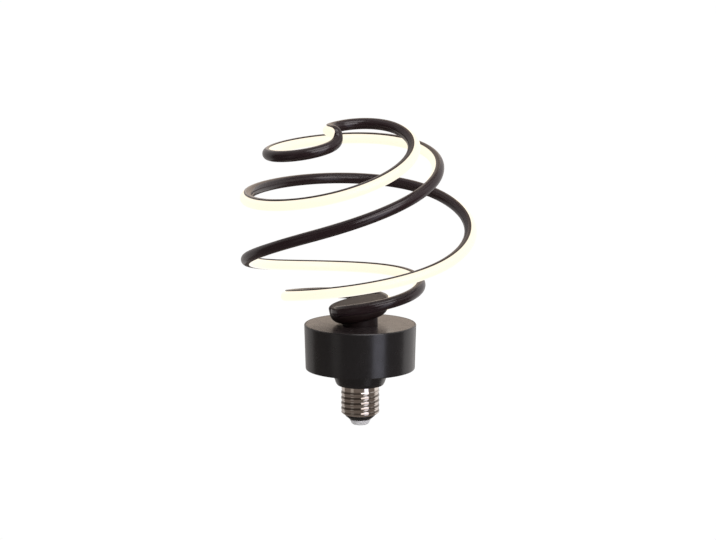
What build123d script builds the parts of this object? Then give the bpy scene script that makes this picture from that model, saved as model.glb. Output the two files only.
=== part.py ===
from build123d import *
import math
import os

# Spiral LED lamp. Millimetres, +Z up, origin on the axis where the screw shell meets the neck.

# Screw cap
thread_diameter = 26.2
shell_length = 20.8
shell_straight = 18.8
shell_mouth_diameter = 21.2
shell_wall = 0.4
insulator_tip_diameter = 14.2
insulator_drop = 2.9
insulator_face = 0.4
contact_diameter = 13.4
contact_tip_diameter = 10.4
contact_height = 3.2
contact_rim = 0.7
contact_stem_diameter = 3.2
contact_stem_length = 3.0

# Housing: neck, puck and the spigot that carries the screw shell
spigot_length = 13.5
spigot_bore = 18.0
neck_foot_diameter = 32.4
neck_top_diameter = 40.0
neck_height = 11.4
neck_bevel = 1.6
puck_diameter = 76.6
puck_height = 31.1
puck_draft = 0.9
puck_wall = 1.8
puck_bevel = 1.0
rim_wall = 0.9
rim_bevel = 0.4

# Top cover
cover_thickness = 2.0
cover_skirt = 4.0
cover_skirt_wall = 1.6
cover_bevel = 0.3

# Hub on the cover, a leaning round cushion where both ends of the light channel go in
hub_diameter = 40.6
hub_height = 12.3
hub_lower_round = 7.0
hub_upper_round = 1.8
hub_tilt = 11.0
hub_stand_off = 3.6
hub_foot_diameter = 24.0
hub_foot_height = 6.0
socket_turn = 80.0
hub_screw_diameter = 3.0
hub_screw_head_diameter = 5.6
hub_screw_head_height = 2.4
hub_screw_reach = 8.5
hub_screw_spacing = 19.0

# Light channel, seen across: depth runs from its round back to its mouth
channel_height = 7.5
channel_depth = 5.2
channel_lip = 0.6
channel_well = 2.9
strip_width = 4.4
strip_thickness = 0.9
diffuser_plug = 1.2
round_facets = 6
plug_thickness = 1.2

# Winding of the channel's middle line, in degrees from the crown down to either foot. At evenly spaced
# stations from the second foot over the crown to the first: reach from the spiral's axis, which changes
# sides at the crown, and height above the cover
light_end = 1000.0
second_reaches = (-9, -36, -50.5, -72, -81.5, -66, -73, -41.5, -17.5)
crown_reach = 0.0
first_reaches = (11, 45, 67.5, 65, 67, 77, 46.5, 36, 9)
second_heights = (9.5, 17.5, 26, 40, 77, 98.5, 109, 123.5, 130.5)
crown_height = 133.5
first_heights = (127.5, 126, 111.5, 96, 75.5, 38.5, 25.5, 14, 8.5)
crown_bearing = 662.5
crown_ease = 159.0
bend_angle = 16.0
tangent_span = 0.5

# Lean of the spiral's axis, in degrees, at its foot and at its crown
lean_left_foot = 3.6
lean_left_crown = 11.8
lean_front_foot = -5.5
lean_front_crown = 10.3

# Driver inside the puck
board_gap = 2.6
board_thickness = 1.6
post_height = 5.0
post_diameter = 6.0
post_inset = 7.0
post_count = 3
first_post_bearing = 90.0
board_screw_diameter = 2.2
board_screw_head_diameter = 4.4
board_screw_head_height = 1.8
board_screw_reach = 4.6
core_width = 16.0
core_height = 13.0
core_depth = 6.0
core_leg = 4.2
core_yoke = 2.2
winding_build = 2.6
input_capacitor_diameter = 10.0
input_capacitor_height = 15.0
output_capacitor_diameter = 8.0
output_capacitor_height = 12.0
capacitor_groove = 0.4
capacitor_groove_share = 0.15
rectifier_length = 8.4
rectifier_width = 6.4
rectifier_height = 2.6
chip_length = 5.0
chip_width = 4.0
chip_height = 1.6
choke_diameter = 8.0
choke_height = 7.0
choke_waist_diameter = 4.6
choke_flange = 1.4
fuse_diameter = 4.0
fuse_length = 9.0
lead_diameter = 1.0
wire_diameter = 1.6
wire_reach = 2.0
transformer_place = (-12.0, -6.0)
input_capacitor_place = (16.0, 13.0)
output_capacitor_place = (11.0, -17.0)
rectifier_place = (-14.0, 13.0)
chip_place = (1.0, -20.0)
choke_place = (2.0, 17.0)
neutral_offset = 6.5

# Fits
fit_gap = 0.05
seat_gap = 0.1
socket_gap = 0.25
wire_gap = 0.3

# Levels and radii that follow from the sizes above
shell_radius = thread_diameter / 2
shell_bore_radius = shell_radius - shell_wall
mouth_bore_radius = shell_mouth_diameter / 2 - shell_wall
insulator_top = -shell_straight - seat_gap
insulator_bottom = -shell_length - insulator_drop
contact_bottom = insulator_bottom - contact_height
stem_top = insulator_bottom + contact_stem_length
fuse_top = -spigot_length + fuse_length
puck_radius = puck_diameter / 2
puck_floor = neck_height + puck_wall
cover_top = neck_height + puck_height
cover_seat = cover_top - cover_thickness
cavity_radius = puck_radius - puck_draft - puck_wall
cover_radius = puck_radius - rim_wall - seat_gap
board_seat = puck_floor + post_height
board_top = board_seat + board_thickness
board_radius = cavity_radius - board_gap
post_radius = board_radius - post_inset
hub_bottom = cover_top + hub_stand_off
hub_top = hub_bottom + hub_height
spigot_radius = shell_bore_radius - fit_gap
lead_radius = lead_diameter / 2
wire_radius = wire_diameter / 2

# Places across the light channel, measured from its middle line towards its mouth
channel_back = -channel_depth / 2
channel_mouth = channel_depth / 2
channel_floor = channel_mouth - channel_well
round_radius = channel_height / 2
round_centre = channel_back + round_radius
well_half_height = channel_height / 2 - channel_lip
plug_half_height = well_half_height - fit_gap
head_radius = (plug_half_height + channel_height / 2) / 2
head_middle = plug_half_height - head_radius
head_seat = channel_mouth + fit_gap
foot_height = second_heights[0]
spiral_height = crown_height - foot_height
station_reaches = (*second_reaches, crown_reach, *first_reaches)
station_heights = (*second_heights, crown_height, *first_heights)


def through(values, winding):
    """Height at a winding of the smooth curve through values that are evenly spaced from foot to foot."""
    spans = len(values) - 1
    place = (winding / light_end + 1) / 2 * spans
    first = min(int(place), spans - 1)
    part = place - first
    row = [2 * values[0] - values[1], *values, 2 * values[-1] - values[-2]]
    a, b, c, d = row[first:first + 4]
    bend = 2 * a - 5 * b + 4 * c - d + part * (3 * (b - c) + d - a)
    return b + 0.5 * part * (c - a + part * bend)


def light_share(winding):
    """Share of the spiral's height that a winding has reached."""
    return (through(station_heights, winding) - foot_height) / spiral_height


def leaning(foot, crown, share):
    """Lean at a share of the spiral's height, and how far the axis has moved sideways by then."""
    angle = math.radians(foot + (crown - foot) * share)
    shift = spiral_height * math.radians(foot * share + (crown - foot) * share * share / 2)
    return angle, shift


def light_point(winding):
    """Point of the middle line; positive windings lie on the first strand, negative on the second."""
    reach = through(station_reaches, winding)
    bearing = math.radians(crown_bearing + crown_ease - math.hypot(winding, crown_ease))
    share = light_share(winding)
    left, left_shift = leaning(lean_left_foot, lean_left_crown, share)
    front, front_shift = leaning(lean_front_foot, lean_front_crown, share)
    x = reach * math.cos(bearing)
    y = reach * math.sin(bearing)
    z = cover_top + through(station_heights, winding) + x * math.sin(left) + y * math.sin(front)
    return Vector(x * math.cos(left) - left_shift, y * math.cos(front) - front_shift, z)


def light_plane(winding):
    """Plane across the channel: its x runs to the mouth, its y up, its z on towards the second strand."""
    share = light_share(winding)
    left = leaning(lean_left_foot, lean_left_crown, share)[0]
    front = leaning(lean_front_foot, lean_front_crown, share)[0]
    up = Vector(-math.sin(left), -math.sin(front), 1)
    ahead = light_point(winding - tangent_span) - light_point(winding + tangent_span)
    return Plane(origin=light_point(winding), x_dir=up.cross(ahead), z_dir=ahead)


def windings(start, end):
    """Evenly spaced windings from one place on the middle line to another."""
    steps = round(abs(end - start) / bend_angle)
    return [start + (end - start) * i / steps for i in range(steps + 1)]


def bent(profile, start, end):
    """Solid of a profile carried along the middle line from one winding to another."""
    return loft([light_plane(w) * profile for w in windings(start, end)], ruled=True)


def facets(centre, radius, first, last):
    """Points of a round between two angles, made of short flats."""
    steps = round(abs(last - first) / 180 * round_facets)
    angles = [math.radians(first + (last - first) * i / steps) for i in range(steps + 1)]
    return [(centre + radius * math.cos(a), radius * math.sin(a)) for a in angles]


def channel_profile():
    half = channel_height / 2
    well = [
        (channel_mouth, -half),
        (channel_mouth, -well_half_height),
        (channel_floor, -well_half_height),
        (channel_floor, well_half_height),
        (channel_mouth, well_half_height),
        (channel_mouth, half),
    ]
    return make_face(Polyline(*facets(round_centre, round_radius, 90, 270), *well, close=True))


def head_points():
    """Round head of the diffuser, flush with the well at its top and lapped over the channel's lower lip."""
    return [(x, y + head_middle) for x, y in facets(head_seat, head_radius, -90, 90)]


def diffuser_profile():
    """Head of the diffuser, with a plug that sits between the channel's lips."""
    inner = channel_mouth - diffuser_plug
    plug = [
        (inner, plug_half_height),
        (inner, -plug_half_height),
        (head_seat, -plug_half_height),
    ]
    return make_face(Polyline(*head_points(), *plug, close=True))


def strip_profile():
    low, high = channel_floor, channel_floor + strip_thickness
    half = strip_width / 2
    return make_face(Polyline((low, -half), (high, -half), (high, half), (low, half), close=True))


def outline_profile():
    """Outline of the filled channel, used for the end plugs and, with room around it, the sockets."""
    back = facets(round_centre, round_radius, 90, 270)
    return make_face(Polyline(*back, *head_points(), (channel_mouth, channel_height / 2), close=True))


def turned(*points):
    """Solid of revolution about the lamp's axis from points given as radius and height."""
    return revolve(make_face(Plane.XZ * Polyline(*points, close=True)), Axis.Z)


def rod(diameter, low, high, x=0.0, y=0.0):
    return Pos(x, y, low) * Cylinder(diameter / 2, high - low, align=(Align.CENTER, Align.CENTER, Align.MIN))


def ends():
    """Each end of the channel: its winding, the plane across it and the way out of it into the hub."""
    first, last = light_plane(light_end), light_plane(-light_end)
    return [(light_end, first, -first.z_dir), (-light_end, last, last.z_dir)]


def strip_end(plane):
    """Middle of the LED strip's end face."""
    return plane.origin + plane.x_dir * (channel_floor + strip_thickness / 2)


def wire_corner(plane, outward):
    """Point beyond the end plug where a strip wire turns down into the puck."""
    return strip_end(plane) + outward * (plug_thickness + wire_reach + lead_radius)


def make_screw_shell():
    return turned(
        (shell_radius, 0),
        (shell_radius, -shell_straight),
        (shell_mouth_diameter / 2, -shell_length),
        (mouth_bore_radius, -shell_length),
        (shell_bore_radius, -shell_straight),
        (shell_bore_radius, 0),
    )


def make_cap_insulator():
    top_radius = shell_bore_radius - fit_gap
    bore = contact_stem_diameter / 2 + fit_gap
    body = turned(
        (bore, insulator_top),
        (top_radius, insulator_top),
        (mouth_bore_radius - fit_gap, -shell_length),
        (insulator_tip_diameter / 2, insulator_bottom + insulator_face),
        (insulator_tip_diameter / 2, insulator_bottom),
        (bore, insulator_bottom),
    )
    return body - screw_shell


def make_centre_contact():
    stem = contact_stem_diameter / 2
    return turned(
        (0, stem_top),
        (stem, stem_top),
        (stem, insulator_bottom),
        (contact_diameter / 2, insulator_bottom),
        (contact_diameter / 2, insulator_bottom - contact_rim),
        (contact_tip_diameter / 2, contact_bottom + contact_rim),
        (contact_tip_diameter / 2 - contact_rim, contact_bottom),
        (0, contact_bottom),
    )


def post_places():
    """Places of the board's posts, evenly spaced round the puck."""
    angles = [math.radians(first_post_bearing + 360 * i / post_count) for i in range(post_count)]
    return [(post_radius * math.cos(a), post_radius * math.sin(a)) for a in angles]


def make_housing():
    """Puck with its neck and the spigot for the shell, in one moulding; its edges are bevelled."""
    low_radius = puck_radius - puck_draft
    foot_radius = neck_foot_diameter / 2
    body = turned(
        (spigot_bore / 2, -spigot_length),
        (spigot_radius, -spigot_length),
        (spigot_radius, 0),
        (foot_radius - neck_bevel, 0),
        (foot_radius, neck_bevel),
        (neck_top_diameter / 2, neck_height),
        (low_radius - puck_bevel, neck_height),
        (low_radius, neck_height + puck_bevel),
        (puck_radius, cover_top - rim_bevel),
        (puck_radius - rim_bevel, cover_top),
        (puck_radius - rim_wall, cover_top),
        (puck_radius - rim_wall, cover_seat),
        (cavity_radius, cover_seat),
        (cavity_radius, puck_floor),
        (spigot_bore / 2, puck_floor),
    )
    for x, y in post_places():
        body += rod(post_diameter, puck_floor, board_seat, x, y)
        body -= rod(board_screw_diameter + 2 * fit_gap, board_seat - board_screw_reach, board_seat, x, y)
    return body


def make_top_cover():
    skirt_radius = cavity_radius - seat_gap
    skirt_bore = skirt_radius - cover_skirt_wall
    body = turned(
        (0, cover_seat),
        (skirt_bore, cover_seat),
        (skirt_bore, cover_seat - cover_skirt),
        (skirt_radius, cover_seat - cover_skirt),
        (skirt_radius, cover_seat),
        (cover_radius, cover_seat),
        (cover_radius, cover_top - cover_bevel),
        (cover_radius - cover_bevel, cover_top),
        (0, cover_top),
    )
    for place in hub_screw_places():
        body -= rod(hub_screw_diameter + 2 * seat_gap, cover_seat, cover_top, *place)
    for _, plane, outward in ends():
        corner = wire_corner(plane, outward)
        body -= rod(lead_diameter + 2 * wire_gap, cover_seat, cover_top, corner.X, corner.Y)
    return body


def hub_screw_places():
    return [(0, -hub_screw_spacing / 2), (0, hub_screw_spacing / 2)]


def make_hub():
    """Round cushion on a short foot, with a socket for each end of the channel and a bore for each wire."""
    side = hub_diameter / 2
    low = facets(side - hub_lower_round, hub_lower_round, -90, 0)
    high = facets(side - hub_upper_round, hub_upper_round, 0, 90)
    cushion = turned(
        (0, hub_bottom),
        *[(r, hub_bottom + hub_lower_round + z) for r, z in low],
        *[(r, hub_top - hub_upper_round + z) for r, z in high],
        (0, hub_top),
    )
    foot_top = cover_top + hub_foot_height
    tilt_axis = Axis((0, 0, foot_top), (0, -1, 0))
    body = cushion.rotate(tilt_axis, hub_tilt) + rod(hub_foot_diameter, cover_top, foot_top)
    room = offset(outline_profile(), socket_gap, kind=Kind.INTERSECTION)
    for winding, plane, outward in ends():
        pocket = plug_thickness + wire_reach + lead_diameter + wire_gap
        mouth = winding - math.copysign(socket_turn, winding)
        planes = [Plane(plane.origin + outward * pocket, plane.x_dir, plane.z_dir)]
        planes += [light_plane(w) for w in windings(winding, mouth)]
        body -= loft([p * room for p in planes], ruled=True)
        corner = wire_corner(plane, outward)
        body -= rod(lead_diameter + 2 * wire_gap, cover_top, corner.Z, corner.X, corner.Y)
    screw_top = cover_top + hub_screw_reach + fit_gap
    for place in hub_screw_places():
        body -= rod(hub_screw_diameter + 2 * fit_gap, cover_top, screw_top, *place)
    return body


def make_hub_screws():
    screws = []
    for place in hub_screw_places():
        head = rod(hub_screw_head_diameter, cover_seat - hub_screw_head_height, cover_seat, *place)
        screws.append(head + rod(hub_screw_diameter, cover_seat, cover_top + hub_screw_reach, *place))
    return screws


def make_end_plugs():
    plugs = []
    for _, plane, outward in ends():
        body = extrude(plane * outline_profile(), plug_thickness, dir=outward)
        hole = Plane(strip_end(plane), z_dir=outward) * Cylinder(lead_radius + fit_gap, 4 * plug_thickness)
        plugs.append(body - hole)
    return plugs


def make_strip_wires():
    """Lead through each end plug, then down through the hub and the cover to the board."""
    wires = []
    for _, plane, outward in ends():
        start, corner = strip_end(plane), wire_corner(plane, outward)
        path = Polyline(start, corner, Vector(corner.X, corner.Y, board_top))
        section = Plane(start, z_dir=outward) * Circle(lead_radius)
        wires.append(sweep(section, path=path, transition=Transition.RIGHT))
    return wires


def make_driver_board():
    body = rod(2 * board_radius, board_seat, board_top)
    for x, y in post_places():
        body -= rod(board_screw_diameter + 2 * seat_gap, board_seat, board_top, x, y)
    return body


def make_board_screws():
    screws = []
    tip = board_seat - board_screw_reach + seat_gap
    for x, y in post_places():
        head = rod(board_screw_head_diameter, board_top, board_top + board_screw_head_height, x, y)
        screws.append(head + rod(board_screw_diameter, tip, board_top, x, y))
    return screws


def make_transformer_core():
    """Ferrite core: two windows on either side of its middle leg."""
    window_width = (core_width - core_leg - 2 * core_yoke) / 2
    window_height = core_height - 2 * core_yoke
    body = Box(core_width, core_depth, core_height, align=(Align.CENTER, Align.CENTER, Align.MIN))
    for side in (-1, 1):
        window = Box(window_width, 2 * core_depth, window_height)
        body -= Pos(side * (core_leg + window_width) / 2, 0, core_height / 2) * window
    return Pos(*transformer_place, board_top) * body


def make_transformer_winding():
    height = core_height - 2 * core_yoke - 2 * seat_gap
    bore = Rectangle(core_leg + 2 * fit_gap, core_depth + 2 * fit_gap)
    coil = RectangleRounded(core_leg + 2 * winding_build, core_depth + 2 * winding_build, winding_build)
    ring = extrude(coil - bore, height)
    return Pos(*transformer_place, board_top + core_yoke + seat_gap) * ring


def make_capacitor(diameter, height, place):
    """Can with a rolled groove near its foot."""
    groove = height * capacitor_groove_share
    radius = diameter / 2
    body = turned(
        (0, 0),
        (radius, 0),
        (radius, groove),
        (radius - capacitor_groove, groove + capacitor_groove),
        (radius, groove + 2 * capacitor_groove),
        (radius, height),
        (0, height),
    )
    return Pos(*place, board_top) * body


def make_block(length, width, height, place):
    return Pos(*place, board_top) * Box(length, width, height, align=(Align.CENTER, Align.CENTER, Align.MIN))


def make_filter_choke():
    radius, waist = choke_diameter / 2, choke_waist_diameter / 2
    body = turned(
        (0, 0),
        (radius, 0),
        (radius, choke_flange),
        (waist, choke_flange),
        (waist, choke_height - choke_flange),
        (radius, choke_height - choke_flange),
        (radius, choke_height),
        (0, choke_height),
    )
    return Pos(*choke_place, board_top) * body


def make_neutral_wire():
    """From the inside of the screw shell, under the spigot, up to the board."""
    level = -spigot_length - wire_radius - wire_gap
    start = Vector(shell_bore_radius - fit_gap, 0, level)
    corner = Vector(neutral_offset, 0, level)
    path = Polyline(start, corner, Vector(neutral_offset, 0, board_seat))
    section = Plane(start, z_dir=corner - start) * Circle(wire_radius)
    return sweep(section, path=path, transition=Transition.RIGHT)


screw_shell = make_screw_shell()
pieces = {
    "screw_shell": screw_shell,
    "cap_insulator": make_cap_insulator(),
    "centre_contact": make_centre_contact(),
    "housing": make_housing(),
    "top_cover": make_top_cover(),
    "hub": make_hub(),
    "hub_screws": make_hub_screws(),
    "light_channel": bent(channel_profile(), light_end, -light_end),
    "diffuser": bent(diffuser_profile(), light_end, -light_end),
    "led_strip": bent(strip_profile(), light_end, -light_end),
    "end_plugs": make_end_plugs(),
    "strip_wires": make_strip_wires(),
    "driver_board": make_driver_board(),
    "board_screws": make_board_screws(),
    "transformer_core": make_transformer_core(),
    "transformer_winding": make_transformer_winding(),
    "input_capacitor": make_capacitor(
        input_capacitor_diameter, input_capacitor_height, input_capacitor_place
    ),
    "output_capacitor": make_capacitor(
        output_capacitor_diameter, output_capacitor_height, output_capacitor_place
    ),
    "rectifier": make_block(rectifier_length, rectifier_width, rectifier_height, rectifier_place),
    "controller_chip": make_block(chip_length, chip_width, chip_height, chip_place),
    "filter_choke": make_filter_choke(),
    "fuse_resistor": rod(fuse_diameter, -spigot_length, fuse_top),
    "contact_lead": rod(lead_diameter, stem_top, -spigot_length),
    "live_wire": rod(wire_diameter, fuse_top, board_seat),
    "neutral_wire": make_neutral_wire(),
}

os.makedirs("parts", exist_ok=True)
for name, piece in pieces.items():
    solids = piece if isinstance(piece, list) else [piece]
    export_step(Compound(children=[s for p in solids for s in p.solids()]), f"parts/{name}.step")
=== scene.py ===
"""Looks of the spiral LED lamp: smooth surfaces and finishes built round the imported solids.

Lengths in the size fields are millimetres, as on the maker's drawing; meshes and finishes are in metres.
"""
import logging
import math
from dataclasses import dataclass, field, replace
from enum import Enum
from typing import Any

import bpy
import numpy as np
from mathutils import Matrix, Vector

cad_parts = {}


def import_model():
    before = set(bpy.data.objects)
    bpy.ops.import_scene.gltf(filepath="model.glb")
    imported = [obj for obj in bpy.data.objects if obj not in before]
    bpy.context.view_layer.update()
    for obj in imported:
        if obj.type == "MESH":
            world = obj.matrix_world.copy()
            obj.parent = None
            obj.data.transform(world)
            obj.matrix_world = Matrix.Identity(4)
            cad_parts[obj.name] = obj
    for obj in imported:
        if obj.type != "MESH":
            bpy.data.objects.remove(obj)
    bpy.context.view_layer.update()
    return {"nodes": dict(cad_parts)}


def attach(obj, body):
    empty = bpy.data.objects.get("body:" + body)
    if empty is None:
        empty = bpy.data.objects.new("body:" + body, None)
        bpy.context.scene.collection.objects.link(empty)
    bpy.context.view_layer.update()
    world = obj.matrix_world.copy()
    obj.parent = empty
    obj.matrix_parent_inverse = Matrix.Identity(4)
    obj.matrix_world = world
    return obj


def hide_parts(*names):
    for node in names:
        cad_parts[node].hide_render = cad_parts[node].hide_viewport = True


LOG = logging.getLogger("spiral_lamp")
BODY = "root"
MM = 0.001
POLE = 0.02  # radius in millimetres at which a turned outline meets the axis
POLE_EASE = 0.005  # setback in millimetres of a corner there
EASE_SHARE = 0.4  # largest share of a side that the ease of a corner takes
FLAT_BEYOND = 1.2  # where a flat begins beyond an ease, in setbacks of the ease
SHARP_EDGE = 50.0  # degrees past which an edge is shaded as sharp
NOISE_RANGE = (0.3, 0.7)  # usual range of the noise's values
COARSE, MEDIUM, FINE = 2.0, 3.0, 4.0  # detail of the noise
SURFACE_MAP = "surface_map"
PHOTO_WIDTH = 716

Span = tuple[float, float]
Colour = tuple[float, float, float]
Socket = bpy.types.NodeSocket


class Closing(Enum):
    """How a grid of points closes on itself."""

    ROUND = "columns meet, the two ends get flat lids"
    RING = "columns meet and so do the ends"


# Mesh making


def arc(centre: Span, radius: float, first: float, last: float, count: int) -> np.ndarray:
    """Points of a circular arc: centre + radius * (cos a, sin a) for evenly spaced angles a.

    Args:
        centre: middle of the circle.
        radius: its radius.
        first: first angle in degrees.
        last: last angle in degrees.
        count: number of points.

    Returns:
        Array of count by 2.
    """
    angle = np.radians(np.linspace(first, last, count))
    return np.column_stack((centre[0] + radius * np.cos(angle), centre[1] + radius * np.sin(angle)))


def soft_step(value: np.ndarray) -> np.ndarray:
    """Soft change from nought to one: s^2 (3 - 2 s), where s is the value held between them."""
    s = np.clip(value, 0.0, 1.0)
    return s * s * (3 - 2 * s)


def run_length(points: np.ndarray) -> np.ndarray:
    """Distance run along a line of points, starting at nought."""
    step = np.linalg.norm(np.diff(points, axis=0), axis=1)
    return np.concatenate(((0.0,), np.cumsum(step)))


def round_length(outline: np.ndarray) -> np.ndarray:
    """Distance run round a closed outline, back to its first point."""
    return run_length(np.concatenate((outline, outline[:1])))


def eased(corners: np.ndarray, count: int = 6) -> np.ndarray:
    """Outline with every corner eased by a parabola between two points set back from it.

    With A and B the points set back along the two sides and C the corner, the ease is
    (1-s)^2 A + 2 s (1-s) C + s^2 B for s from 0 to 1. One more point stands on each side beyond the ease, so
    that a flat beside it keeps its own shading.

    Args:
        corners: closed outline, n by 3: radius, height and setback of each corner.
        count: points on one ease.

    Returns:
        Array of n * (count + 2) by 2.
    """
    places, setback = corners[:, :2], corners[:, 2]
    before = np.roll(places, 1, axis=0) - places
    after = np.roll(places, -1, axis=0) - places
    before_length = np.linalg.norm(before, axis=1)
    after_length = np.linalg.norm(after, axis=1)
    reach = np.minimum(setback, EASE_SHARE * np.minimum(before_length, after_length))[:, None]
    into = before / before_length[:, None]
    away = after / after_length[:, None]
    a = (places + into * reach)[:, None, :]
    b = (places + away * reach)[:, None, :]
    c = places[:, None, :]
    s = np.linspace(0.0, 1.0, count)[None, :, None]
    ease = (1 - s) ** 2 * a + 2 * s * (1 - s) * c + s ** 2 * b
    first = (places + into * (FLAT_BEYOND * reach))[:, None, :]
    last = (places + away * (FLAT_BEYOND * reach))[:, None, :]
    return np.concatenate((first, ease, last), axis=1).reshape(-1, 2)


def grid_faces(rows: int, columns: int, closing: Closing) -> tuple[np.ndarray, np.ndarray]:
    """Four-sided faces of a grid whose point (i, j) has the index i * columns + j.

    Args:
        rows: points along the path.
        columns: points round the profile.
        closing: how the grid closes.

    Returns:
        The faces' point indices, m by 4, and each corner's unwrapped (row, column), m by 4 by 2.
    """
    runs = rows if closing is Closing.RING else rows - 1
    i, j = np.meshgrid(np.arange(runs), np.arange(columns), indexing="ij")
    steps = np.array(((0, 0), (0, 1), (1, 1), (1, 0)))
    places = np.stack((i.ravel(), j.ravel()), axis=1)[:, None, :] + steps[None, :, :]
    index = (places[:, :, 0] % rows) * columns + places[:, :, 1] % columns
    return index, places


def inside_out(points: np.ndarray, faces: np.ndarray) -> bool:
    """True if the faces point inwards: the triple products of their corners then sum below nought.

    Args:
        points: n by 3.
        faces: m by 4 point indices.

    Returns:
        Whether the faces have to be turned round.
    """
    a, b, c, d = (points[faces[:, k]] for k in range(4))
    volume = np.einsum("ij,ij->i", a, np.cross(b, c)) + np.einsum("ij,ij->i", a, np.cross(c, d))
    return float(volume.sum()) < 0.0


def surface(name: str, grid: np.ndarray, closing: Closing, along: np.ndarray,
            across: np.ndarray) -> bpy.types.Object:
    """Object of a closed smooth surface given as a grid of points.

    Args:
        name: the piece's name.
        grid: rows by columns by 3, metres.
        closing: how the grid closes.
        along: the surface map's first coordinate for each row, one more than the rows on a ring.
        across: its second coordinate for each column, one more than the columns.

    Returns:
        The new object, at the origin and in the scene.
    """
    rows, columns = grid.shape[:2]
    points = grid.reshape(-1, 3)
    faces, places = grid_faces(rows, columns, closing)
    flip = inside_out(points, faces)
    if flip:
        faces, places = faces[:, ::-1], places[:, ::-1]
    chart = np.stack((along[places[:, :, 0]], across[places[:, :, 1]]), axis=2).reshape(-1, 2)
    polygons = faces.tolist()
    if closing is Closing.ROUND:
        near = list(range(columns))
        far = [(rows - 1) * columns + j for j in range(columns)]
        polygons += [near if flip else near[::-1], far[::-1] if flip else far]
        chart = np.concatenate((chart, np.zeros((2 * columns, 2))))
    mesh = bpy.data.meshes.new(name)
    mesh.from_pydata(points.tolist(), [], polygons)
    layer = mesh.uv_layers.new(name=SURFACE_MAP)
    layer.data.foreach_set("uv", chart.astype(np.float32).ravel())
    mesh.shade_smooth()
    mesh.set_sharp_from_angle(angle=math.radians(SHARP_EDGE))
    mesh.update()
    piece = bpy.data.objects.new(name, mesh)
    bpy.context.scene.collection.objects.link(piece)
    return piece


def turned(name: str, outline: np.ndarray, steps: int = 192) -> bpy.types.Object:
    """Surface of revolution of a closed outline: (r cos a, r sin a, z) for a once round the axis.

    Args:
        name: the piece's name.
        outline: closed outline of radius and height in millimetres, n by 2.
        steps: points round the axis.

    Returns:
        The new object.
    """
    angle = np.linspace(0.0, 2 * math.pi, steps, endpoint=False)[:, None]
    radius, height = outline[None, :, 0], outline[None, :, 1]
    grid = np.stack((radius * np.cos(angle), radius * np.sin(angle), height + 0 * angle), axis=2)
    along = np.linspace(0.0, 1.0, steps + 1)
    return surface(name, grid * MM, Closing.RING, along, round_length(outline) * MM)


def stands_for(piece: bpy.types.Object, material: bpy.types.Material, slot: str, *nodes: str) -> None:
    """Dresses a piece, puts it on the lamp's body in place of solids, and logs it.

    Args:
        piece: the new piece.
        material: its finish.
        slot: the record's material slot that it belongs to; not used.
        nodes: solids that it stands for.
    """
    piece.data.materials.append(material)
    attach(piece, BODY)
    if nodes:
        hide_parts(*nodes)
    replaced = ", ".join(nodes) or "nothing"
    LOG.info("%s: %d points, in place of %s", piece.name, len(piece.data.vertices), replaced)


# Finishes


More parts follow.
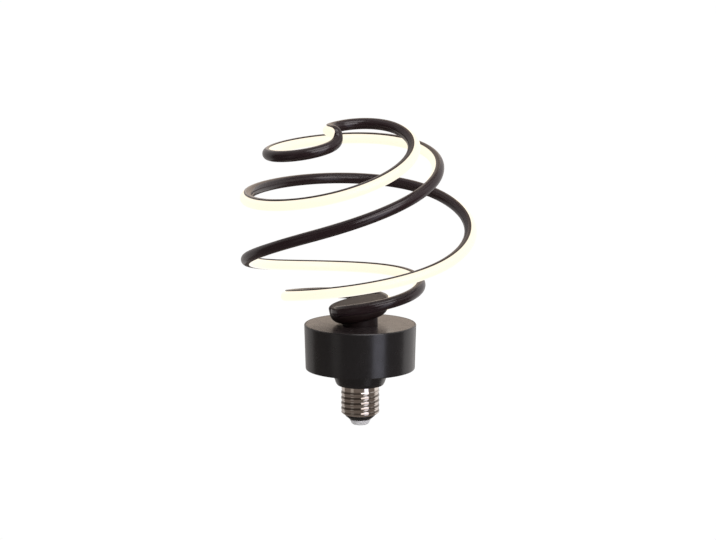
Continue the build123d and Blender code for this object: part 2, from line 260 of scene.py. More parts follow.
class Shading:
    """A material's node graph, with short calls to add and join nodes."""

    MIX_COLOURS = (6, 7)
    MIX_RESULT = 2

    def __init__(self, name: str) -> None:
        """Starts a material with only its output node.

        Args:
            name: the material's name.
        """
        self.material = bpy.data.materials.new(name)
        self.material.use_nodes = True
        self.tree = self.material.node_tree
        self.tree.nodes.clear()
        self.output = self.add("ShaderNodeOutputMaterial")

    def add(self, kind: str, settings: dict[str, Any] | None = None, **inputs: Any) -> bpy.types.Node:
        """Adds a node.

        Args:
            kind: Blender's name of the node type.
            settings: attributes of the node.
            inputs: values or output sockets for its inputs; an underscore stands for a space.

        Returns:
            The new node.
        """
        node = self.tree.nodes.new(kind)
        for key, value in (settings or {}).items():
            setattr(node, key, value)
        for key, value in inputs.items():
            self.put(node, key.replace("_", " "), value)
        return node

    def put(self, node: bpy.types.Node, place: str | int, value: Any) -> None:
        """Sets an input of a node to a value, or joins an output socket to it.

        Args:
            node: the node.
            place: name or number of its input.
            value: a plain value or an output socket.
        """
        if isinstance(value, Socket):
            self.tree.links.new(value, node.inputs[place])
        else:
            node.inputs[place].default_value = value

    def chart(self) -> tuple[Socket, Socket]:
        """The surface map's two coordinates.

        Returns:
            The sockets of the coordinates along and across.
        """
        chart = self.add("ShaderNodeUVMap", {"uv_map": SURFACE_MAP})
        parts = self.add("ShaderNodeSeparateXYZ", Vector=chart.outputs["UV"])
        return parts.outputs["X"], parts.outputs["Y"]

    def noise(self, waves: float, detail: float = MEDIUM, stretch: Colour = (1.0, 1.0, 1.0)) -> Socket:
        """Noise in the piece's own space.

        Args:
            waves: waves to the metre.
            detail: how fine it goes.
            stretch: factors on the three directions.

        Returns:
            The noise value's socket.
        """
        place = self.add("ShaderNodeTexCoord").outputs["Object"]
        mapping = self.add("ShaderNodeMapping", Vector=place, Scale=stretch)
        noise = self.add("ShaderNodeTexNoise", Vector=mapping.outputs["Vector"], Scale=waves, Detail=detail)
        return noise.outputs["Fac"]

    def ramp(self, value: Socket, source: Span, target: Span = (0.0, 1.0)) -> Socket:
        """Carries a value from one range over to another, held at its ends.

        Args:
            value: the value's socket.
            source: ends of the first range.
            target: ends of the second range.

        Returns:
            The new value's socket.
        """
        node = self.add("ShaderNodeMapRange", Value=value, From_Min=source[0], From_Max=source[1],
                        To_Min=target[0], To_Max=target[1])
        return node.outputs["Result"]

    def clouds(self, waves: float, detail: float = MEDIUM, target: Span = (0.0, 1.0)) -> Socket:
        """Noise carried over to a range."""
        return self.ramp(self.noise(waves, detail), NOISE_RANGE, target)

    def blend(self, share: Socket, first: Colour | Socket, second: Colour) -> Socket:
        """Mixes two colours.

        Args:
            share: share of the second colour.
            first: a plain colour or an output socket.
            second: a plain colour.

        Returns:
            The mixed colour's socket.
        """
        node = self.add("ShaderNodeMix", {"data_type": "RGBA"}, Factor=share)
        for place, colour in zip(self.MIX_COLOURS, (first, second)):
            self.put(node, place, colour if isinstance(colour, Socket) else (*colour, 1.0))
        return node.outputs[self.MIX_RESULT]

    def sums(self, operation: str, *values: Any) -> Socket:
        """Works out a sum.

        Args:
            operation: Blender's name of the sum.
            values: plain values or output sockets that go into it.

        Returns:
            The result's socket.
        """
        node = self.add("ShaderNodeMath", {"operation": operation})
        for place, value in enumerate(values):
            self.put(node, place, value)
        return node.outputs[0]

    def bump(self, value: Socket, depth: float, strength: float) -> Socket:
        """Fine relief of a given depth in metres."""
        node = self.add("ShaderNodeBump", Height=value, Strength=strength, Distance=depth)
        return node.outputs["Normal"]

    def close(self, shader: bpy.types.Node) -> bpy.types.Material:
        """Joins the shader to the output and returns the material."""
        self.tree.links.new(shader.outputs[0], self.output.inputs["Surface"])
        return self.material


@dataclass(frozen=True)
class Coat:
    """Satin skin of a painted or moulded piece: orange peel, cloudy gloss and a slight drift of colour."""

    name: str
    colour: Colour
    drift: Colour
    roughness: Span
    grain: float = 2600.0
    relief: float = 0.000003
    peel: float = 0.6
    specular: float = 0.5
    drift_waves: float = 60.0
    gloss_waves: float = 140.0

    def material(self) -> bpy.types.Material:
        """Builds the node graph.

        Returns:
            The finished material.
        """
        shading = Shading(self.name)
        colour = shading.blend(shading.clouds(self.drift_waves), self.colour, self.drift)
        gloss = shading.clouds(self.gloss_waves, FINE, self.roughness)
        normal = shading.bump(shading.noise(self.grain, COARSE), self.relief, self.peel)
        shader = shading.add("ShaderNodeBsdfPrincipled", Base_Color=colour, Roughness=gloss, Normal=normal)
        shader.inputs["Specular IOR Level"].default_value = self.specular
        return shading.close(shader)


@dataclass(frozen=True)
class ThreadShadeLines:
    """Painted shade in lines along the flanks of a rolled thread, from one drop below its rim to another."""

    pitch: float
    first: float
    last: float
    # colour of the painted shade on the flanks
    stain_and_shade: Colour
    upper_power: float = 0.4
    lower_power: float = 3.0
    lower_share: float = 0.3

    def darkened(self, shading: Shading, colour: Socket) -> Socket:
        """Paints shade lines over a metal's colour.

        With w = sin(2 pi (drop / pitch + turn)) from the surface map, the painted shade's share is
        (-w)^upper_power on the upper flanks and lower_share * w^lower_power on the lower ones. It fades in and
        out over half a pitch.

        Args:
            shading: the node graph.
            colour: the metal's colour.

        Returns:
            The colour with its painted shade lines.
        """
        turn, drop = shading.chart()
        bend = shading.sums("MULTIPLY", turn, 2 * math.pi)
        wave = shading.sums("SINE", shading.sums("MULTIPLY_ADD", drop, 2 * math.pi / self.pitch, bend))
        # painted shade: the up-facing flanks get the most of it, the down-facing ones a little
        up_facing = shading.sums("MAXIMUM", shading.sums("MULTIPLY", wave, -1.0), 0.0)
        upper = shading.sums("POWER", up_facing, self.upper_power)
        lower = shading.sums("POWER", shading.sums("MAXIMUM", wave, 0.0), self.lower_power)
        lines = shading.sums("MULTIPLY_ADD", lower, self.lower_share, upper)
        fade = self.pitch / 2
        start = shading.ramp(drop, (self.first, self.first + fade))
        end = shading.ramp(drop, (self.last, self.last - fade))
        share = shading.sums("MULTIPLY", lines, shading.sums("MULTIPLY", start, end))
        return shading.blend(share, colour, self.stain_and_shade)


@dataclass(frozen=True)
class Plating:
    """Bare or plated metal: lines drawn round the axis, stained colour, cloudy gloss, a thread's painted
    shade.
    """

    name: str
    colour: Colour
    stain_and_shade: Colour
    roughness: Span
    # painted shade lines on a thread's flanks, if there is a thread
    thread: ThreadShadeLines | None = None
    metallic: float = 1.0
    drawn_waves: float = 900.0
    drawn_stretch: Colour = (0.06, 0.06, 1.0)
    drawn_strength: float = 0.5
    relief: float = 0.000004
    stain_waves: float = 220.0
    gloss_waves: float = 500.0

    def material(self) -> bpy.types.Material:
        """Builds the node graph.

        Returns:
            The finished material.
        """
        shading = Shading(self.name)
        colour = shading.blend(shading.clouds(self.stain_waves, FINE), self.colour, self.stain_and_shade)
        # paints shade on the thread's upper flanks
        if self.thread:
            colour = self.thread.darkened(shading, colour)
        gloss = shading.clouds(self.gloss_waves, MEDIUM, self.roughness)
        drawn = shading.noise(self.drawn_waves, COARSE, self.drawn_stretch)
        normal = shading.bump(drawn, self.relief, self.drawn_strength)
        shader = shading.add("ShaderNodeBsdfPrincipled", Base_Color=colour, Roughness=gloss, Normal=normal)
        shader.inputs["Metallic"].default_value = self.metallic
        return shading.close(shader)


@dataclass(frozen=True)
class OpalGlow:
    """Opal strip lit from behind: cream, paling towards its lower edge, with a soft milky unevenness."""

    name: str
    middle: Colour
    edge: Colour
    strength: float
    width: float
    paling: float = 0.25
    milk: float = 0.06
    milk_waves: float = 400.0
    grain: float = 900.0
    relief: float = 0.00002
    unevenness: float = 0.4
    roughness: float = 0.45
    unlit: Colour = (0.08, 0.075, 0.06)

    def material(self) -> bpy.types.Material:
        """Builds the node graph.

        Returns:
            The finished material.
        """
        shading = Shading(self.name)
        drop = shading.chart()[1]
        pale = shading.add("ShaderNodeMapRange", {"interpolation_type": "SMOOTHSTEP"}, Value=drop,
                           From_Min=-self.paling * self.width, From_Max=-self.width)
        milk = shading.clouds(self.milk_waves, MEDIUM, (-self.milk, self.milk))
        light = shading.blend(shading.sums("ADD", pale.outputs["Result"], milk), self.middle, self.edge)
        normal = shading.bump(shading.noise(self.grain, COARSE), self.relief, self.unevenness)
        shader = shading.add("ShaderNodeBsdfPrincipled", Roughness=self.roughness, Normal=normal)
        shader.inputs["Base Color"].default_value = (*self.unlit, 1.0)
        shading.put(shader, "Emission Color", light)
        shader.inputs["Emission Strength"].default_value = self.strength
        return shading.close(shader)


CHANNEL_COAT = Coat("satin_black_coat", (0.0124, 0.0062, 0.0076), (0.0142, 0.0074, 0.009), (0.2, 0.24),
                    relief=0.0000015, specular=0.4)
MOULDED_BLACK = Coat("satin_black_moulding", (0.0066, 0.0062, 0.0068), (0.0082, 0.0078, 0.0084), (0.22, 0.28),
                     specular=0.62)
# a lighter black than the puck's moulding: painted light that brightens the cover's shaded middle by the hub
COVER_BLACK = Coat("satin_black_cover", (0.022, 0.017, 0.018), (0.025, 0.0195, 0.0205), (0.22, 0.28),
                   specular=0.5)
HUB_BLACK = Coat("dull_black_moulding", (0.0125, 0.0062, 0.006), (0.0145, 0.0076, 0.0072), (0.46, 0.52),
                 specular=0.23)
BLACK_INSULATOR = Coat("gloss_black_insulator", (0.006, 0.006, 0.0065), (0.009, 0.009, 0.0095), (0.12, 0.2),
                       grain=900.0, specular=0.3)
NICKEL = Plating("nickel_plate", (0.9, 0.85, 0.8), (0.78, 0.71, 0.64), (0.09, 0.15))
# colour of the painted shade on the thread's upper flanks
PAINTED_FLANK_SHADE = (0.17, 0.148, 0.13)
CONTACT_METAL = Plating("dull_contact_metal", (0.62, 0.62, 0.63), (0.54, 0.54, 0.55), (0.42, 0.55),
                        metallic=0.25)
OPAL = OpalGlow("lit_opal", (1.02, 0.92, 0.735), (1.02, 0.99, 0.93), 1.0, 0.0052)


# Sub-assemblies


@dataclass
class LightLine:
    """Middle line of the light channel: two strands wound from the crown down to the hub, on a leaning axis.

    Reaches and heights stand at even steps of winding from the second foot over the crown to the first foot.
    """

    end: float = 1000.0
    reaches: tuple[float, ...] = (
        -9, -36, -50.5, -72, -81.5, -66, -73, -41.5, -17.5, 0, 11, 45, 67.5, 65, 67, 77, 46.5, 36, 9)
    heights: tuple[float, ...] = (
        9.5, 17.5, 26, 40, 77, 98.5, 109, 123.5, 130.5, 133.5,
        127.5, 126, 111.5, 96, 75.5, 38.5, 25.5, 14, 8.5)
    crown_bearing: float = 662.5
    crown_ease: float = 159.0
    lean_left: Span = (3.6, 11.8)
    lean_front: Span = (-5.5, 10.3)
    cover_top: float = 42.5
    points: int = 1500

    def through(self, values: tuple[float, ...], winding: np.ndarray) -> np.ndarray:
        """Smooth curve through even steps: the cubic that leaves each value parallel to its neighbours' chord.

        Args:
            values: what the curve passes through, from foot to foot.
            winding: degrees wound from the crown.

        Returns:
            The curve's height at each winding.
        """
        spans = len(values) - 1
        place = (winding / self.end + 1) / 2 * spans
        first = np.minimum(place.astype(int), spans - 1)
        part = place - first
        row = np.array((2 * values[0] - values[1], *values, 2 * values[-1] - values[-2]), float)
        a, b, c, d = (row[first + k] for k in range(4))
        bend = 2 * a - 5 * b + 4 * c - d + part * (3 * (b - c) + d - a)
        return b + 0.5 * part * (c - a + part * bend)

    def leaning(self, lean: Span, share: np.ndarray) -> tuple[np.ndarray, np.ndarray]:
        """Lean and sideways shift of the axis; the shift is the lean summed over the height run so far.

        Args:
            lean: degrees at the foot and at the crown.
            share: share of the spiral's height.

        Returns:
            The lean in radians and the shift in millimetres.
        """
        foot, change = lean[0], lean[1] - lean[0]
        rise = self.heights[len(self.heights) // 2] - self.heights[0]
        return np.radians(foot + change * share), rise * np.radians(foot * share + change * share ** 2 / 2)

    def frames(self) -> tuple[np.ndarray, np.ndarray, np.ndarray]:
        """Points of the line with the directions to the channel's mouth and up, from foot to crown to foot.

        A point is (r cos b, r sin b) about the leaning axis at its height, where the bearing b slows down
        towards the crown as crown_ease - hypot(t, crown_ease), and the reach r changes sign at the crown.

        Returns:
            Three arrays of points by 3: places, mouth directions and up directions.
        """
        t = np.linspace(self.end, -self.end, self.points)
        reach = self.through(self.reaches, t)
        height = self.through(self.heights, t)
        bearing = np.radians(self.crown_bearing + self.crown_ease - np.hypot(t, self.crown_ease))
        foot, crown = self.heights[0], self.heights[len(self.heights) // 2]
        share = (height - foot) / (crown - foot)
        left, left_shift = self.leaning(self.lean_left, share)
        front, front_shift = self.leaning(self.lean_front, share)
        x, y = reach * np.cos(bearing), reach * np.sin(bearing)
        z = self.cover_top + height + x * np.sin(left) + y * np.sin(front)
        places = np.stack((x * np.cos(left) - left_shift, y * np.cos(front) - front_shift, z), axis=1)
        ahead = np.gradient(places, axis=0)
        ahead /= np.linalg.norm(ahead, axis=1)[:, None]
        lean_up = np.stack((-np.sin(left), -np.sin(front), np.ones_like(left)), axis=1)
        mouth = np.cross(lean_up, ahead)
        mouth /= np.linalg.norm(mouth, axis=1)[:, None]
        return places, mouth, np.cross(ahead, mouth)


@dataclass
class LightSpiral:
    """The bent channel and the opal strip that fills its mouth."""

    line: LightLine = field(default_factory=LightLine)
    height: float = 7.5
    depth: float = 5.2
    lip: float = 0.85
    lip_round: float = 0.26
    well: float = 2.9
    plug: float = 1.2
    gap: float = 0.05
    back_points: int = 17
    lip_points: int = 5
    head_points: int = 33

    def carried(self, name: str, profile: np.ndarray, middle: int = 0) -> bpy.types.Object:
        """Profile carried along the light line: place + u * mouth + v * up for its points (u, v).

        Args:
            name: the piece's name.
            profile: closed outline, n by 2, millimetres.
            middle: the outline's point from which the surface map counts across.

        Returns:
            The new object.
        """
        places, mouth, up = self.line.frames()
        u, v = profile[None, :, :1], profile[None, :, 1:]
        grid = places[:, None, :] + u * mouth[:, None, :] + v * up[:, None, :]
        across = round_length(profile) * MM
        return surface(name, grid * MM, Closing.ROUND, run_length(places) * MM, across - across[middle])

    def channel_profile(self) -> np.ndarray:
        """Outline of the channel: a half-round back, rounded lips and a square well.

        Returns:
            Closed outline, n by 2.
        """
        half, mouth = self.height / 2, self.depth / 2
        well_half, floor, r = half - self.lip, mouth - self.well, self.lip_round
        back = arc((half - mouth, 0.0), half, 180, 270, self.back_points)
        outer_lip = arc((mouth - r, -half + r), r, -90, 0, self.lip_points)
        inner_lip = arc((mouth - r, -well_half - r), r, 0, 90, self.lip_points)
        lower = np.concatenate((back, outer_lip, inner_lip, ((floor, -well_half),)))
        return np.concatenate((lower, lower[:0:-1] * (1, -1)))

    def diffuser_profile(self) -> np.ndarray:
        """Outline of the opal strip: a round head that laps over the lower lip, and the plug in the well.

        Returns:
            Closed outline, n by 2.
        """
        seat, inner = self.depth / 2 + self.gap, self.depth / 2 - self.plug
        half = self.height / 2 - self.lip - self.gap
        radius = (half + self.height / 2) / 2
        head = arc((seat, half - radius), radius, -90, 90, self.head_points)
        return np.concatenate((head, ((inner, half), (inner, -half), (seat, -half))))

    def build(self) -> None:
        """Makes and dresses the channel and the opal strip."""
        channel = self.carried("bent_channel", self.channel_profile())
        stands_for(channel, CHANNEL_COAT.material(), "black_coating", "light_channel")
        strip = self.carried("opal_strip", self.diffuser_profile(), self.head_points // 2)
        stands_for(strip, OPAL.material(), "opal_silicone", "diffuser")


@dataclass
class ScrewCap:
    """Screw shell with its rolled thread, the insulator under it and the centre contact."""

    crest_radius: float = 13.1
    root_radius: float = 12.66
    crest_curve: float = 0.8
    pitch: float = 3.629
    collar_radius: float = 12.75
    collar: float = 2.3
    run_in: float = 1.6
    straight: float = 18.8
    run_out_lead: float = 1.2
    run_out: float = 2.0
    length: float = 20.8
    end_rise: float = 0.35
    end_curve: float = 1.4
    mouth_radius: float = 10.6
    wall: float = 0.35
    button_steps: int = 128
    shell_levels: int = 150
    shell_steps: int = 160
    line_overrun: float = 0.8
    seat_gap: float = 0.05
    lead_bore: float = 1.65
    insulator_seat: float = 0.8
    insulator_rim: float = 0.8
    insulator_radius: float = 7.5
    insulator_drop: float = 3.3
    insulator_bevel: Span = (0.4, 0.3)
    contact_radius: float = 7.1
    contact_height: float = 3.6
    contact_rim: float = 0.7
    contact_step: float = 0.5
    tip_radius: float = 5.5
    tip_bevel: Span = (0.5, 0.9)
    dimple_radii: Span = (2.2, 1.4)
    dimple_depths: Span = (0.25, 0.3)

    def shell_radius(self, angle: np.ndarray, height: np.ndarray) -> np.ndarray:
        """Radius of the shell's outer face.

        The thread is a cosine wave of the height and the turn, (height / pitch - turn), between root and
        crest; it fades out into the plain collar above and into the tapered end below.

        Args:
            angle: turn about the axis in radians.
            height: height below the rim, negative.

        Returns:
            The radius at each pair.
        """
        wave = 0.5 + 0.5 * np.cos(2 * math.pi * height / self.pitch - angle)
        thread = self.root_radius + (self.crest_radius - self.root_radius) * wave ** self.crest_curve
        start = soft_step((-height - self.collar) / self.run_in)
        radius = self.collar_radius + (thread - self.collar_radius) * start
        taper = np.clip((-height - self.straight) / (self.length - self.straight), 0.0, 1.0)
        end = self.crest_radius - (self.crest_radius - self.mouth_radius) * taper ** self.end_curve
        fade = soft_step((-height - self.straight + self.run_out_lead) / self.run_out)
        lower = np.minimum(end, self.root_radius + self.end_rise)
        return radius + (lower - radius) * fade

    def build_shell(self) -> None:
        """Makes the shell as a thin wall: down its outer face and up again a wall's thickness inside it."""
        height = -np.linspace(0.0, self.length, self.shell_levels)
        angle = np.linspace(0.0, 2 * math.pi, self.shell_steps, endpoint=False)
        turn, drop = np.meshgrid(angle, height, indexing="ij")
        outer = self.shell_radius(turn, drop)
        radius = np.concatenate((outer, outer[:, ::-1] - self.wall), axis=1)
        level = np.concatenate((drop, drop[:, ::-1]), axis=1)
        around = np.concatenate((turn, turn), axis=1)
        grid = np.stack((radius * np.cos(around), radius * np.sin(around), level), axis=2)
        along = np.linspace(0.0, 1.0, angle.size + 1)
        across = np.linspace(0.0, 2 * self.length * MM, level.shape[1] + 1)
        shell = surface("threaded_shell", grid * MM, Closing.RING, along, across)
        # the thread's flanks get painted shade lines
        last = self.straight + self.line_overrun
        lines = ThreadShadeLines(self.pitch * MM, self.collar * MM, last * MM, PAINTED_FLANK_SHADE)
        stands_for(shell, replace(NICKEL, thread=lines).material(), "nickel_plate", "screw_shell")

    def build_insulator(self) -> None:
        """Makes the insulator: a cone below the shell's rolled-in end."""
        top = -self.straight - self.insulator_seat
        low = -self.length - self.insulator_drop
        rim = self.mouth_radius - self.wall - self.seat_gap
        bevel, rise = self.insulator_bevel
        corners = np.array((
            (self.lead_bore, top, 0.1),
            (rim, top, 0.2),
            (rim, -self.length - self.insulator_rim, 0.3),
            (self.insulator_radius, low + rise, 0.3),
            (self.insulator_radius - bevel, low, 0.2),
            (self.lead_bore, low, 0.1),
        ))
        ring = turned("insulator_ring", eased(corners))
        stands_for(ring, BLACK_INSULATOR.material(), "black_insulator", "cap_insulator")

    def build_contact(self) -> None:
        """Makes the centre contact: a stepped button with a shallow dimple under it."""
        top = -self.length - self.insulator_drop
        low = top - self.contact_height
        rim = top - self.contact_rim
        bevel, rise = self.tip_bevel
        corners = np.array((
            (POLE, top, POLE_EASE),
            (self.contact_radius, top, 0.2),
            (self.contact_radius, rim, 0.2),
            (self.contact_radius - self.contact_step, rim - self.contact_step, 0.15),
            (self.tip_radius + bevel, low + rise, 0.4),
            (self.tip_radius - bevel, low, 0.5),
            (self.dimple_radii[0], low, 0.3),
            (self.dimple_radii[1], low + self.dimple_depths[0], 0.2),
            (POLE, low + self.dimple_depths[1], POLE_EASE),
        ))
        button = turned("contact_button", eased(corners), self.button_steps)
        stands_for(button, CONTACT_METAL.material(), "contact_metal", "centre_contact")

    def build(self) -> None:
        """Makes and dresses the whole cap."""
        self.build_shell()
        self.build_insulator()
        self.build_contact()


@dataclass
class DriverHousing:
    """Puck with its neck, the cover let into its rim, and the hub on the cover."""

    puck_radius: float = 38.3
    puck_draft: float = 0.9
    puck_wall: float = 1.8
    puck_top: float = 42.5
    neck_height: float = 11.4
    neck_foot: float = 16.2
    neck_top: float = 20.0
    foot_inset: float = 0.5
    foot_flare: float = 0.6
    foot_rise: float = 1.8
    rim_wall: float = 0.9
    rim_bevel: Span = (0.4, 0.55)
    cover_thickness: float = 2.0
    skirt_wall: float = 1.6
    skirt_height: float = 4.0
    seat_gap: float = 0.1
    spigot: float = 11.6
    spigot_bore: float = 9.0
    spigot_length: float = 13.5
    hub_radius: float = 20.3
    hub_height: float = 12.3
    hub_lower_round: float = 7.0
    hub_upper_round: float = 1.8
    hub_flat_inset: float = 1.0
    hub_tilt: float = 11.0
    hub_stand_off: float = 3.6
    hub_foot_radius: float = 12.0
    hub_foot_height: float = 6.0
    round_points: tuple[int, int] = (14, 12)
    flat_points: tuple[int, int] = (4, 6)
    puck_ease_points: int = 8
    puck_steps: int = 256
    foot_steps: int = 128

    def build_puck(self) -> None:
        """Makes the puck and neck as one thin-walled turned moulding."""
        seat = self.puck_top - self.cover_thickness
        low = self.puck_radius - self.puck_draft
        cavity = low - self.puck_wall
        rim = self.puck_radius - self.rim_wall
        bevel, drop = self.rim_bevel
        floor = self.neck_height + self.puck_wall
        corners = np.array((
            (self.spigot_bore, -self.spigot_length, 0.2),
            (self.spigot, -self.spigot_length, 0.2),
            (self.spigot, 0.0, 0.1),
            (self.neck_foot - self.foot_inset, 0.0, 0.8),
            (self.neck_foot + self.foot_flare, self.foot_rise, 0.7),
            (self.neck_top, self.neck_height, 0.3),
            (low, self.neck_height, 0.7),
            (self.puck_radius, self.puck_top - drop, 0.12),
            (self.puck_radius - bevel, self.puck_top, 0.12),
            (rim, self.puck_top, 0.1),
            (rim, seat, 0.1),
            (cavity, seat, 0.1),
            (cavity, floor, 0.5),
            (self.spigot_bore, floor, 0.3),
        ))
        puck = turned("puck_moulding", eased(corners, self.puck_ease_points), self.puck_steps)
        stands_for(puck, MOULDED_BLACK.material(), "black_moulding", "housing")

    def build_cover(self) -> None:
        """Makes the cover: a plate with an eased edge and a skirt inside the puck's wall."""
        radius = self.puck_radius - self.rim_wall - self.seat_gap
        seat = self.puck_top - self.cover_thickness
        skirt = self.puck_radius - self.puck_draft - self.puck_wall - self.seat_gap
        corners = np.array((
            (POLE, seat, POLE_EASE),
            (skirt - self.skirt_wall, seat, 0.2),
            (skirt - self.skirt_wall, seat - self.skirt_height, 0.2),
            (skirt, seat - self.skirt_height, 0.2),
            (skirt, seat, 0.1),
            (radius, seat, 0.1),
            (radius, self.puck_top, 0.3),
            (POLE, self.puck_top, POLE_EASE),
        ))
        cover = turned("cover_plate", eased(corners), self.puck_steps)
        # painted light: the cover's black is lighter than the puck's
        stands_for(cover, COVER_BLACK.material(), "black_moulding", "top_cover")

    def cushion_outline(self) -> np.ndarray:
        """Outline of the hub's cushion before its tilt: flat, with a large round below and a small one above.

        Returns:
            Closed outline of radius and height, n by 2.
        """
        low = self.puck_top + self.hub_stand_off
        high = low + self.hub_height
        lower_middle = self.hub_radius - self.hub_lower_round
        upper_middle = self.hub_radius - self.hub_upper_round
        lower = arc((lower_middle, low + self.hub_lower_round), self.hub_lower_round, -90, 0,
                    self.round_points[0])
        upper = arc((upper_middle, high - self.hub_upper_round), self.hub_upper_round, 0, 90,
                    self.round_points[1])
        under = np.linspace(POLE, lower_middle - self.hub_flat_inset, self.flat_points[0])
        over = np.linspace(upper_middle - self.hub_flat_inset, POLE, self.flat_points[1])
        bottom = np.column_stack((under, np.full_like(under, low)))
        top = np.column_stack((over, np.full_like(over, high)))
        return np.concatenate((bottom, lower, upper, top))

    def build_hub(self) -> None:
        """Makes the hub: a round cushion, tilted about the top of its foot, and the foot that it stands on.

        The tilt turns (x, z) about the foot's top: x cos t - z sin t, x sin t + z cos t.
        """
        foot_top = self.puck_top + self.hub_foot_height
        finish = HUB_BLACK.material()
        cushion = turned("hub_cushion", self.cushion_outline())
        points = np.empty(len(cushion.data.vertices) * 3)
        cushion.data.vertices.foreach_get("co", points)
        points = points.reshape(-1, 3)
        tilt = math.radians(self.hub_tilt)
        x, z = points[:, 0].copy(), points[:, 2] - foot_top * MM
        points[:, 0] = x * math.cos(tilt) - z * math.sin(tilt)
        points[:, 2] = x * math.sin(tilt) + z * math.cos(tilt) + foot_top * MM
        cushion.data.vertices.foreach_set("co", points.ravel())
        cushion.data.update()
        stands_for(cushion, finish, "black_moulding", "hub")
        corners = np.array((
            (POLE, self.puck_top, POLE_EASE),
            (self.hub_foot_radius, self.puck_top, 0.15),
            (self.hub_foot_radius, foot_top, 0.3),
            (POLE, foot_top, POLE_EASE),
        ))
        foot = turned("hub_foot", eased(corners), self.foot_steps)
        stands_for(foot, finish, "black_moulding")

    def build(self) -> None:
        """Makes and dresses the puck, the cover and the hub."""
        self.build_puck()
        self.build_cover()
        self.build_hub()


@dataclass
class InnerDriver:
    """The hidden electrics, which keep their solids and get their finishes."""

    coats: dict[str, Coat] = field(default_factory=lambda: {
        "led_strip": Coat("strip_phosphor", (0.86, 0.62, 0.16), (0.9, 0.7, 0.24), (0.5, 0.6)),
        "end_plugs": Coat("plug_rubber", (0.02, 0.02, 0.02), (0.03, 0.03, 0.03), (0.6, 0.75)),
        "driver_board": Coat("solder_resist", (0.02, 0.11, 0.05), (0.03, 0.15, 0.06), (0.3, 0.4), 1200.0),
        "transformer_core": Coat("core_ferrite", (0.03, 0.03, 0.033), (0.05, 0.05, 0.055), (0.6, 0.7)),
        "filter_choke": Coat("choke_ferrite", (0.03, 0.03, 0.033), (0.05, 0.05, 0.055), (0.6, 0.7)),
        "input_capacitor": Coat("large_can_sleeve", (0.01, 0.01, 0.02), (0.02, 0.02, 0.035), (0.25, 0.35)),
        "output_capacitor": Coat("small_can_sleeve", (0.01, 0.02, 0.03), (0.02, 0.03, 0.045), (0.25, 0.35)),
        "rectifier": Coat("rectifier_resin", (0.015, 0.015, 0.015), (0.03, 0.03, 0.03), (0.5, 0.6)),
        "controller_chip": Coat("chip_resin", (0.015, 0.015, 0.015), (0.03, 0.03, 0.03), (0.5, 0.6)),
        "fuse_resistor": Coat("resistor_cement", (0.08, 0.22, 0.19), (0.1, 0.27, 0.23), (0.5, 0.65)),
        "live_wire": Coat("brown_sleeve", (0.11, 0.045, 0.018), (0.14, 0.06, 0.025), (0.35, 0.45)),
        "neutral_wire": Coat("blue_sleeve", (0.02, 0.06, 0.24), (0.03, 0.08, 0.3), (0.35, 0.45)),
        "strip_wires": Coat("white_sleeve", (0.72, 0.72, 0.7), (0.8, 0.8, 0.77), (0.35, 0.45)),
    })
    metals: dict[str, Plating] = field(default_factory=lambda: {
        "hub_screws": Plating("hub_screw_zinc", (0.6, 0.6, 0.6), (0.5, 0.5, 0.48), (0.25, 0.4)),
        "board_screws": Plating("board_screw_zinc", (0.6, 0.6, 0.6), (0.5, 0.5, 0.48), (0.25, 0.4)),
        "transformer_winding": Plating("lacquered_copper", (0.7, 0.32, 0.14), (0.55, 0.22, 0.09), (0.2, 0.35)),
        "contact_lead": Plating("tinned_lead", (0.7, 0.69, 0.67), (0.6, 0.59, 0.56), (0.25, 0.35)),
    })

    def dress(self, nodes: dict[str, bpy.types.Object]) -> None:
        """Gives each inner solid its finish.

        Args:
            nodes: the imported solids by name.
        """
        for name, finish in {**self.coats, **self.metals}.items():
            slots = nodes[name].data.materials
            slots.clear()
            slots.append(finish.material())
            LOG.info("%s: dressed with %s", name, finish.name)


@dataclass(frozen=True)
class Panel:
    """Soft panel that faces the lamp.

    Its bearing is in degrees to the right of the camera and its lift in degrees above the level, both seen
    from the lamp. Distance, width and height are millimetres, and white paper has a brightness of 1.
    """

    name: str
    bearing: float
    lift: float
    distance: float
    size: Span
    brightness: float
    tint: Colour

    def hang(self, middle: Vector) -> None:
        """Makes the panel's light; its power is brightness times pi times its area.

        Args:
            middle: place that the panel faces, metres.
        """
        data = bpy.data.lights.new(self.name, "AREA")
        data.shape = "RECTANGLE"
        data.size, data.size_y = self.size[0] * MM, self.size[1] * MM
        data.energy = self.brightness * math.pi * data.size * data.size_y
        data.color = self.tint
        lamp = bpy.data.objects.new(self.name, data)
        bpy.context.scene.collection.objects.link(lamp)
        lamp.visible_camera = False
        b, e = math.radians(self.bearing), math.radians(self.lift)
        way = Vector((math.sin(b) * math.cos(e), -math.cos(b) * math.cos(e), math.sin(e)))
        lamp.location = middle + way * self.distance * MM
        lamp.rotation_euler = way.to_track_quat("Z", "Y").to_euler()


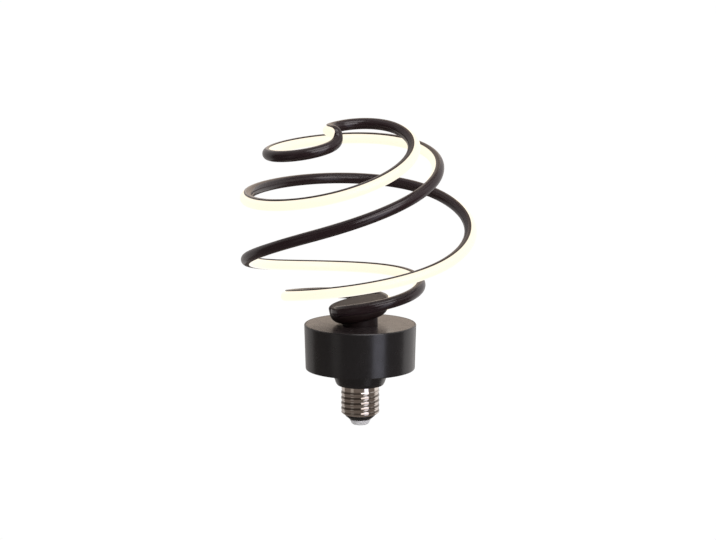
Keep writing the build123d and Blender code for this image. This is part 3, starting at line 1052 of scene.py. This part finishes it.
@dataclass
class Studio:
    """White floor and surround, soft panels and the camera."""

    target: Colour = (-1.5, 0.0, 79.7)
    elevation: float = 9.82
    distance: float = 1827.0
    focal_pixels: float = 2682.0
    sensor_width: float = 36.0
    floor_level: float = -60.0
    surround: float = 6000.0
    sight: float = 100000.0
    backdrop_span: Span = (20.0, 160.0)
    dome_points: tuple[int, int] = (48, 25)
    floor_points: tuple[int, int] = (65, 12)
    paper_glow: float = 1.02
    paper_shade: float = 0.995
    paper_waves: float = 0.5
    ambient: Colour = (0.15, 0.126, 0.112)
    lamp_middle: Colour = (0.0, 0.0, 50.0)
    panels: tuple[Panel, ...] = (
        Panel("key_panel", 30.0, 30.0, 1500.0, (1300.0, 850.0), 4.4, (1.0, 0.95, 0.98)),
        Panel("low_key_panel", 39.0, -3.0, 1500.0, (650.0, 900.0), 1.5, (0.94, 0.95, 1.14)),
        Panel("under_key_panel", 37.0, -33.0, 1500.0, (560.0, 680.0), 0.8, (0.97, 0.97, 1.03)),
        Panel("high_key_panel", 22.0, 67.0, 1400.0, (1100.0, 600.0), 3.8, (1.0, 0.97, 0.98)),
        Panel("left_panel", -51.0, -5.0, 1300.0, (450.0, 900.0), 0.22, (1.0, 0.98, 0.95)),
        Panel("left_high_panel", -70.0, 50.0, 1300.0, (1600.0, 900.0), 0.25, (1.0, 0.96, 0.95)),
        Panel("right_panel", 82.0, 35.0, 1300.0, (800.0, 1300.0), 0.6, (1.0, 0.98, 0.98)),
        Panel("left_wing", -142.0, 8.0, 1300.0, (1500.0, 2200.0), 0.38, (1.0, 0.98, 0.97)),
        Panel("right_wing", 131.0, 8.0, 1300.0, (1600.0, 2200.0), 0.72, (1.0, 0.98, 0.98)),
        Panel("back_panel", 176.0, 20.0, 1500.0, (700.0, 1500.0), 0.75, (1.0, 0.84, 0.7)),
        Panel("back_high_panel", 180.0, 75.0, 1400.0, (1600.0, 900.0), 0.6, (1.0, 0.97, 0.96)),
    )

    def paper(self) -> bpy.types.Material:
        """White paper that gives its own light, so that it shows no shadow.

        Returns:
            The finished material.
        """
        shading = Shading("white_paper")
        tint = shading.blend(shading.clouds(self.paper_waves), (1.0, 1.0, 1.0), (self.paper_shade,) * 3)
        return shading.close(shading.add("ShaderNodeEmission", Color=tint, Strength=self.paper_glow))

    def sheet(self, name: str, grid: np.ndarray) -> bpy.types.Object:
        """Open sheet of white paper through a grid of points; it throws no shadow and shows in no gloss.

        Args:
            name: the sheet's name.
            grid: rows by columns by 3, in shares of the surround's radius.

        Returns:
            The new object, as part of the stage.
        """
        rows, columns = grid.shape[:2]
        points = (grid * self.surround + (0.0, 0.0, self.floor_level)) * MM
        faces, _ = grid_faces(rows, columns, Closing.RING)
        kept = faces.reshape(rows, columns, 4)[:-1, :-1].reshape(-1, 4)
        mesh = bpy.data.meshes.new(name)
        mesh.from_pydata(points.reshape(-1, 3).tolist(), [], kept.tolist())
        mesh.materials.append(self.paper())
        piece = bpy.data.objects.new(name, mesh)
        bpy.context.scene.collection.objects.link(piece)
        piece.visible_shadow = False
        piece.visible_glossy = False
        return piece

    def build_surround(self) -> None:
        """Makes the floor and two quarters of a sphere on it: backdrop and front.

        The floor is (r cos a, r sin a, 0), the quarters (cos e cos a, cos e sin a, sin e).
        """
        first, last = self.backdrop_span
        columns, levels = self.dome_points
        lift = np.radians(np.linspace(0.0, 90.0, levels))[None, :]
        for name, start, end in (("backdrop", first, last), ("front_surround", last, first + 360.0)):
            angle = np.radians(np.linspace(start, end, columns))[:, None]
            level = np.cos(lift)
            grid = np.stack((level * np.cos(angle), level * np.sin(angle), np.sin(lift) + 0 * angle), 2)
            self.sheet(name, grid).visible_diffuse = name == "backdrop"
        columns, rings = self.floor_points
        angle = np.radians(np.linspace(0.0, 360.0, columns))[:, None]
        radius = np.linspace(0.0, 1.0, rings)[None, :]
        self.sheet("floor", np.stack((radius * np.cos(angle), radius * np.sin(angle), 0 * radius * angle), 2))

    def build_lights(self) -> None:
        """Hangs the soft panels and sets the dim room."""
        for panel in self.panels:
            panel.hang(Vector(self.lamp_middle) * MM)
        world = bpy.data.worlds.new("dim_room")
        world.use_nodes = True
        back = world.node_tree.nodes["Background"]
        back.inputs["Color"].default_value = (*self.ambient, 1.0)
        back.inputs["Strength"].default_value = 1.0
        bpy.context.scene.world = world

    def build_camera(self) -> None:
        """Sets the camera at the photograph's viewing angle."""
        data = bpy.data.cameras.new("camera")
        data.sensor_fit = "HORIZONTAL"
        data.sensor_width = self.sensor_width
        data.lens = self.sensor_width * self.focal_pixels / PHOTO_WIDTH
        data.clip_end = self.sight * MM
        camera = bpy.data.objects.new("camera", data)
        bpy.context.scene.collection.objects.link(camera)
        lift = math.radians(self.elevation)
        way = Vector((0.0, -math.cos(lift), math.sin(lift)))
        camera.location = Vector(self.target) * MM + way * self.distance * MM
        camera.rotation_euler = way.to_track_quat("Z", "Y").to_euler()
        bpy.context.scene.camera = camera

    def build(self) -> None:
        """Sets the whole studio and plain colour handling."""
        self.build_camera()
        self.build_surround()
        self.build_lights()
        settings = bpy.context.scene.view_settings
        settings.view_transform = "Standard"
        settings.look = "None"
        settings.exposure = 0.0
        settings.gamma = 1.0


def main() -> None:
    """Builds the lamp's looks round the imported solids, then the studio."""
    logging.basicConfig(level=logging.INFO, format="%(name)s: %(message)s")
    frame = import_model()
    LightSpiral().build()
    ScrewCap().build()
    DriverHousing().build()
    InnerDriver().dress(frame["nodes"])
    Studio().build()


if __name__ == "__main__":
    main()
